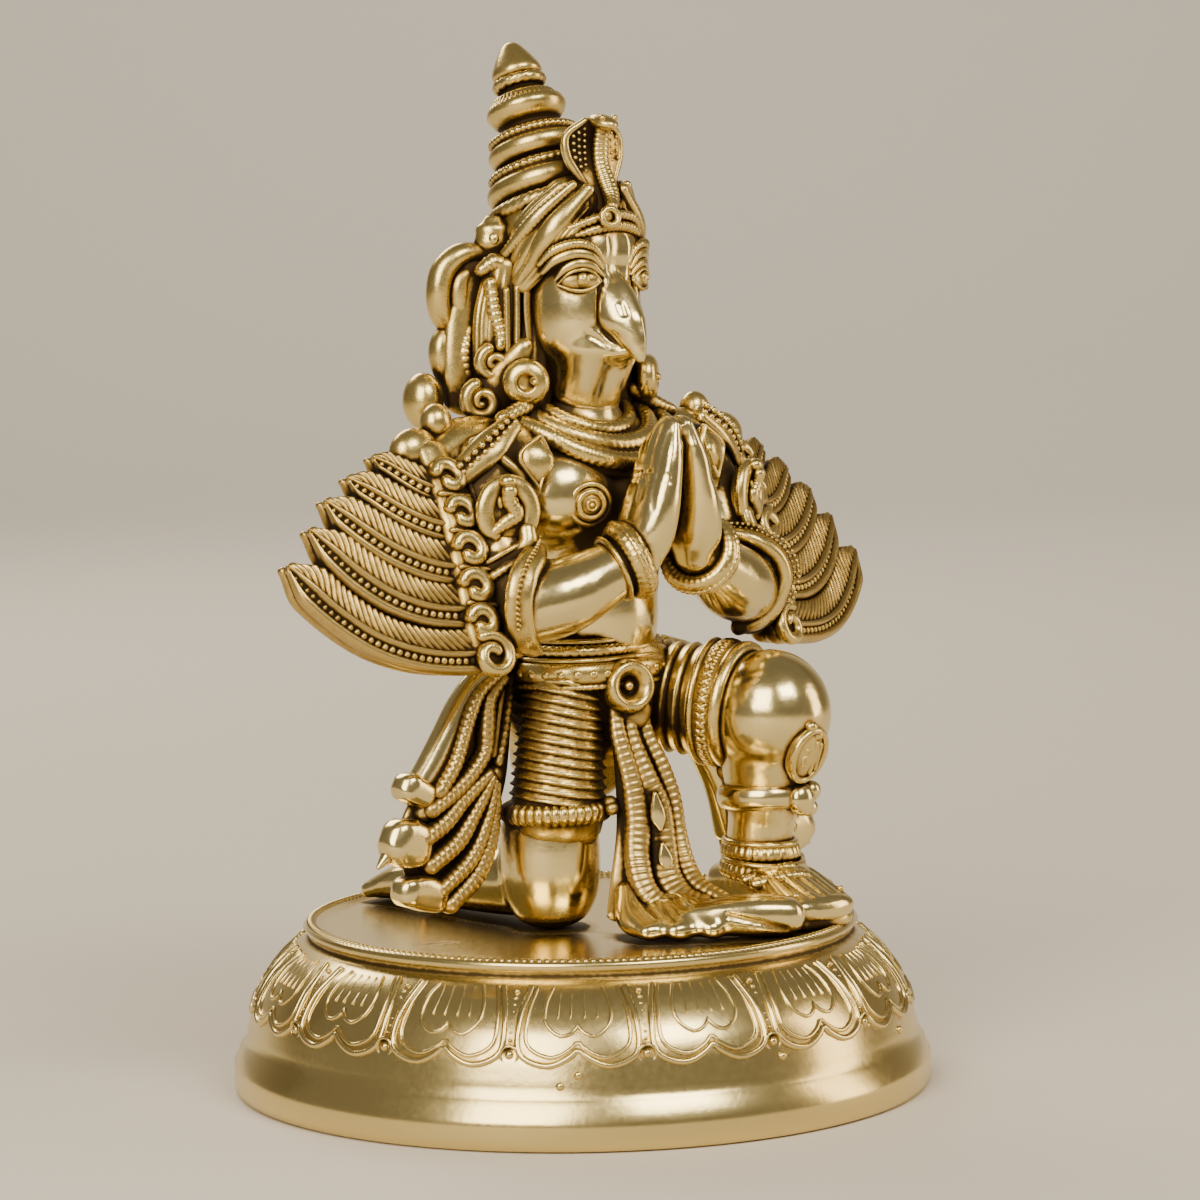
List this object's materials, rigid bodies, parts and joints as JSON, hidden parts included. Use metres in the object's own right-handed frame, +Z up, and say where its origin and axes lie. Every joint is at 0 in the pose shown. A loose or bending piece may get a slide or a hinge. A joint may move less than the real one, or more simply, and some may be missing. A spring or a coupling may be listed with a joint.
{
  "type": "garuda figure",
  "caption": "Cast brass figure of the kneeling eagle-headed garuda with spread wings and joined hands, on a round lotus plinth.",
  "frame": {"origin": "centre of the plinth's flat underside", "axes": "+Z up, the figure faces -Y, and its own right hand side is at -X"},
  "size_m": [0.1108, 0.102, 0.1513],
  "materials": {
    "plinth_brass": "cast brass, polished on the flange, dome and plate, with darker metal left in the chased lines",
    "figure_brass": "cast brass with a dark patina left in the chased lines and polished high points"
  },
  "bodies": {
    "root": {"plinth": "plinth_brass", "figure": "figure_brass"}
  },
  "joints": []
}
